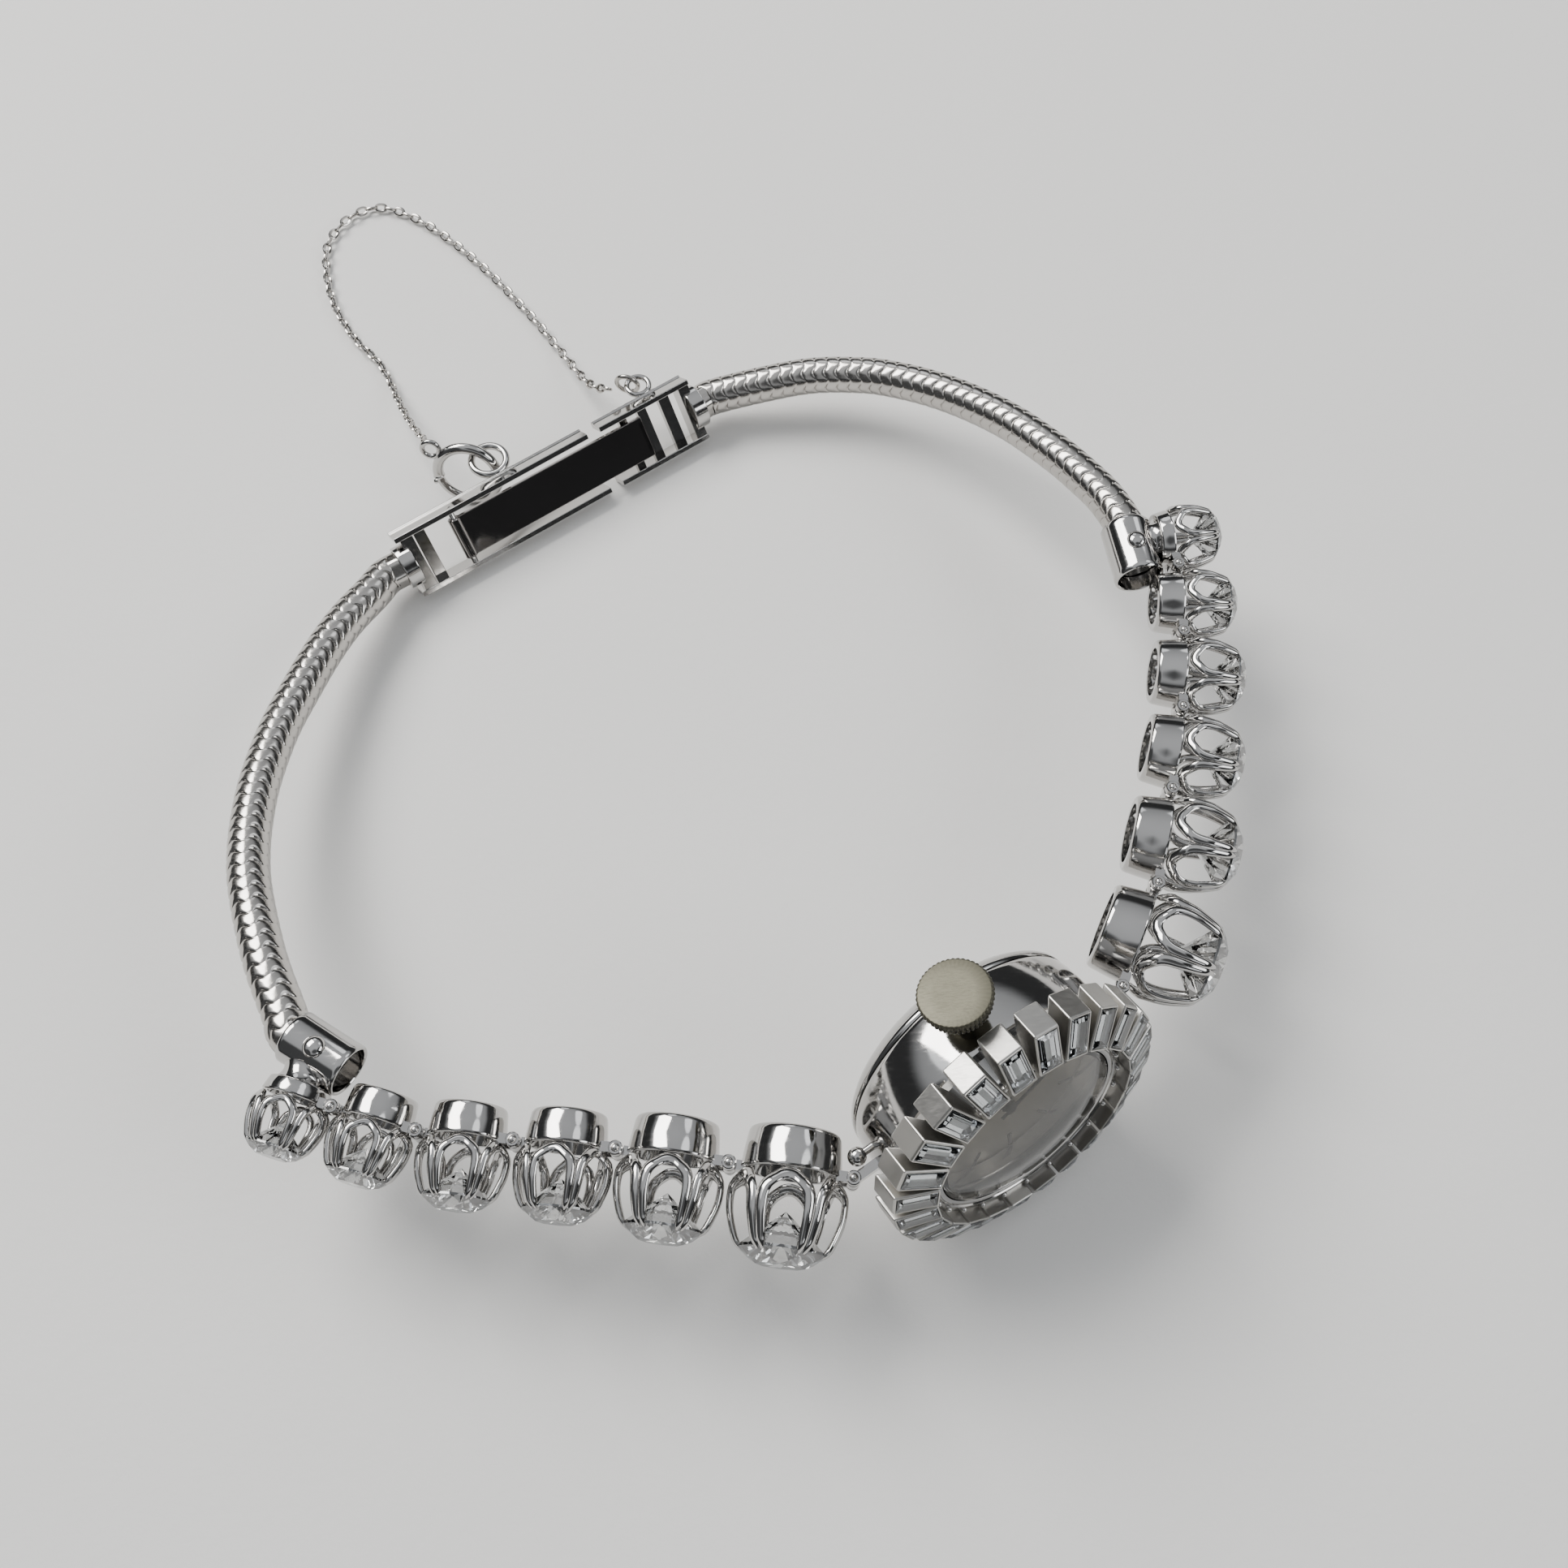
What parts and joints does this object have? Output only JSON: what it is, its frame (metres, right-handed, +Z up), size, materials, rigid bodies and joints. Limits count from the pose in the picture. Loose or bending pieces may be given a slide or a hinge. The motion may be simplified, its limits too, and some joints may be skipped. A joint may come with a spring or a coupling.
{
  "type": "cocktail watch",
  "caption": "Closed bracelet watch lying on its edge: a round head ringed with baguette stones, hinged rows of claw-set stones, two snake chains, a folding clasp and a safety chain.",
  "frame": {"origin": "middle of the base of the bracelet and watch head, without the safety chain and its rings", "axes": "+Z up, along the hinge axes of the links; +X towards the right-hand row of stones; -Y towards the left-hand row and the head"},
  "size_m": [0.0611, 0.0772, 0.0177],
  "materials": {
    "white_gold": "polished white gold",
    "chain": "polished white gold, closely ribbed",
    "clasp_plate": "mirror-polished white gold",
    "stone": "colourless, brilliant and step cut",
    "crystal": "clear, domed",
    "dial": "satin, silvered",
    "hands": "satin, dark",
    "crown": "satin face, knurled edge",
    "movement": "satin nickel",
    "train": "satin",
    "steel": "satin"
  },
  "bodies": {
    "clasp_left": {"clasp_left_frame": "white_gold", "clasp_hinge_pin": "white_gold", "spring_ring": "white_gold", "spring_ring_trigger": "white_gold", "safety_chain": "white_gold"},
    "clasp_plate": {"clasp_plate": "clasp_plate"},
    "clasp_right": {"clasp_right_frame": "white_gold", "jump_ring": "white_gold"},
    "left_link_1": {"left_collet_1": "white_gold", "left_stone_1": "stone", "left_hood": "white_gold", "left_rivet": "white_gold", "left_snake_chain": "chain"},
    "right_link_1": {"right_collet_1": "white_gold", "right_stone_1": "stone", "right_hood": "white_gold", "right_rivet": "white_gold", "right_snake_chain": "chain"},
    "left_link_2": {"left_collet_2": "white_gold", "left_stone_2": "stone"},
    "left_link_3": {"left_collet_3": "white_gold", "left_stone_3": "stone"},
    "left_link_4": {"left_collet_4": "white_gold", "left_stone_4": "stone"},
    "left_link_5": {"left_collet_5": "white_gold", "left_stone_5": "stone"},
    "left_link_6": {"left_collet_6": "white_gold", "left_stone_6": "stone"},
    "right_link_2": {"right_collet_2": "white_gold", "right_stone_2": "stone"},
    "right_link_3": {"right_collet_3": "white_gold", "right_stone_3": "stone"},
    "right_link_4": {"right_collet_4": "white_gold", "right_stone_4": "stone"},
    "right_link_5": {"right_collet_5": "white_gold", "right_stone_5": "stone"},
    "right_link_6": {"right_collet_6": "white_gold", "right_stone_6": "stone"},
    "head": {"case_band": "white_gold", "case_back": "white_gold", "bezel": "white_gold", "bezel_baguettes": "stone", "crystal": "crystal", "dial": "dial", "movement_plate": "movement", "train_bridge": "movement"},
    "setting_lever": {"setting_lever": "steel"},
    "crown": {"winding_crown": "crown", "winding_stem": "steel"},
    "hour_hand": {"hour_hand": "hands"},
    "minute_hand": {"minute_hand": "hands"},
    "mainspring_barrel": {"mainspring_barrel": "movement"},
    "centre_wheel": {"centre_wheel": "train"},
    "third_wheel": {"third_wheel": "train"},
    "fourth_wheel": {"fourth_wheel": "train"},
    "escape_wheel": {"escape_wheel": "train"},
    "pallet_fork": {"pallet_fork": "steel"},
    "balance_wheel": {"balance_wheel": "train"}
  },
  "joints": [
    {"name": "plate_fold", "type": "hinge", "parent": "clasp_left", "child": "clasp_plate", "pos_m": [-0.01859, 0.01659, 0.00242], "axis": [0.3338, -0.4838, -0.809], "range_deg": [0, 100.5]},
    {"name": "clasp_slide", "type": "slide", "parent": "clasp_left", "child": "clasp_right", "axis": [0.8231, 0.5678, 0], "range_m": [0, 0.008]},
    {"name": "left_chain_flex", "type": "hinge", "parent": "clasp_left", "child": "left_link_1", "pos_m": [-0.02245, 0.01426, 0.00222], "axis": [0, 0, -1], "range_deg": [0, 25], "deforming": ["left_snake_chain"]},
    {"name": "right_chain_flex", "type": "hinge", "parent": "clasp_right", "child": "right_link_1", "pos_m": [-0.00335, 0.02744, 0.00222], "axis": [0, 0, 1], "range_deg": [0, 25], "deforming": ["right_snake_chain"]},
    {"name": "left_link_2_hinge", "type": "hinge", "parent": "left_link_1", "child": "left_link_2", "pos_m": [-0.02088, -0.02207, 0.00781], "axis": [0, 0, -1], "range_deg": [0, 5]},
    {"name": "left_link_3_hinge", "type": "hinge", "parent": "left_link_2", "child": "left_link_3", "pos_m": [-0.01641, -0.02329, 0.00781], "axis": [0, 0, -1], "range_deg": [0, 14]},
    {"name": "left_link_4_hinge", "type": "hinge", "parent": "left_link_3", "child": "left_link_4", "pos_m": [-0.0114, -0.02377, 0.00781], "axis": [0, 0, -1], "range_deg": [0, 5]},
    {"name": "left_link_5_hinge", "type": "hinge", "parent": "left_link_4", "child": "left_link_5", "pos_m": [-0.00614, -0.02418, 0.00781], "axis": [0, 0, -1], "range_deg": [0, 6]},
    {"name": "left_link_6_hinge", "type": "hinge", "parent": "left_link_5", "child": "left_link_6", "pos_m": [-0.00035, -0.02489, 0.00781], "axis": [0, 0, -1], "range_deg": [0, 4]},
    {"name": "right_link_2_hinge", "type": "hinge", "parent": "right_link_1", "child": "right_link_2", "pos_m": [0.02618, 0.01064, 0.00781], "axis": [0, 0, 1], "range_deg": [0, 14]},
    {"name": "right_link_3_hinge", "type": "hinge", "parent": "right_link_2", "child": "right_link_3", "pos_m": [0.02602, 0.00601, 0.00781], "axis": [0, 0, 1], "range_deg": [0, 8]},
    {"name": "right_link_4_hinge", "type": "hinge", "parent": "right_link_3", "child": "right_link_4", "pos_m": [0.02545, 0.00101, 0.00781], "axis": [0, 0, 1], "range_deg": [0, 10]},
    {"name": "right_link_5_hinge", "type": "hinge", "parent": "right_link_4", "child": "right_link_5", "pos_m": [0.02431, -0.00414, 0.00781], "axis": [0, 0, 1], "range_deg": [0, 5]},
    {"name": "right_link_6_hinge", "type": "hinge", "parent": "right_link_5", "child": "right_link_6", "pos_m": [0.02295, -0.00981, 0.00781], "axis": [0, 0, 1], "range_deg": [0, 14]},
    {"name": "head_hinge", "type": "hinge", "parent": "left_link_6", "child": "head", "pos_m": [0.00598, -0.02569, 0.00781], "axis": [0, 0, -1], "range_deg": [0, 35]},
    {"name": "crown_pull", "type": "slide", "parent": "head", "child": "setting_lever", "axis": [-0.2443, 0.1849, 0.9519], "range_m": [0, 0.0007]},
    {"name": "crown_turn", "type": "hinge", "parent": "setting_lever", "child": "crown", "pos_m": [0.01078, -0.01869, 0.0161], "axis": [-0.2443, 0.1849, 0.9519], "continuous": true},
    {"name": "minute_hand_turn", "type": "hinge", "parent": "head", "child": "minute_hand", "pos_m": [0.0135, -0.0211, 0.00781], "axis": [0.5437, -0.7867, 0.2924], "continuous": true},
    {"name": "hour_hand_turn", "type": "hinge", "parent": "head", "child": "hour_hand", "pos_m": [0.0135, -0.0211, 0.00781], "axis": [0.5437, -0.7867, 0.2924], "continuous": true},
    {"name": "fourth_wheel_turn", "type": "hinge", "parent": "head", "child": "fourth_wheel", "pos_m": [0.01523, -0.02047, 0.0063], "axis": [0.5437, -0.7867, 0.2924], "continuous": true},
    {"name": "third_wheel_turn", "type": "hinge", "parent": "head", "child": "third_wheel", "pos_m": [0.01533, -0.01973, 0.0081], "axis": [0.5437, -0.7867, 0.2924], "continuous": true},
    {"name": "centre_wheel_turn", "type": "hinge", "parent": "head", "child": "centre_wheel", "pos_m": [0.0135, -0.0211, 0.00781], "axis": [0.5437, -0.7867, 0.2924], "continuous": true},
    {"name": "mainspring_barrel_turn", "type": "hinge", "parent": "head", "child": "mainspring_barrel", "pos_m": [0.01136, -0.02187, 0.00973], "axis": [0.5437, -0.7867, 0.2924], "continuous": true},
    {"name": "escape_wheel_turn", "type": "hinge", "parent": "head", "child": "escape_wheel", "pos_m": [0.01445, -0.02142, 0.00518], "axis": [0.5437, -0.7867, 0.2924], "continuous": true},
    {"name": "balance_swing", "type": "hinge", "parent": "head", "child": "balance_wheel", "pos_m": [0.01151, -0.02333, 0.00552], "axis": [0.5437, -0.7867, 0.2924], "range_deg": [-150, 150]},
    {"name": "pallet_fork_swing", "type": "hinge", "parent": "head", "child": "pallet_fork", "pos_m": [0.01344, -0.02233, 0.00461], "axis": [0.5437, -0.7867, 0.2924], "range_deg": [-11, 11]}
  ],
  "couplings": [
    {"joint": "plate_fold", "follows": "clasp_slide", "rad_per_m": 218.17},
    {"joint": "minute_hand_turn", "follows": "crown_turn", "ratio": 1},
    {"joint": "hour_hand_turn", "follows": "crown_turn", "ratio": 0.083333},
    {"joint": "third_wheel_turn", "follows": "fourth_wheel_turn", "ratio": -0.13333},
    {"joint": "centre_wheel_turn", "follows": "fourth_wheel_turn", "ratio": 0.016667},
    {"joint": "mainspring_barrel_turn", "follows": "fourth_wheel_turn", "ratio": -0.002381},
    {"joint": "escape_wheel_turn", "follows": "fourth_wheel_turn", "ratio": -10},
    {"joint": "pallet_fork_swing", "follows": "balance_swing", "ratio": 0.066667}
  ]
}
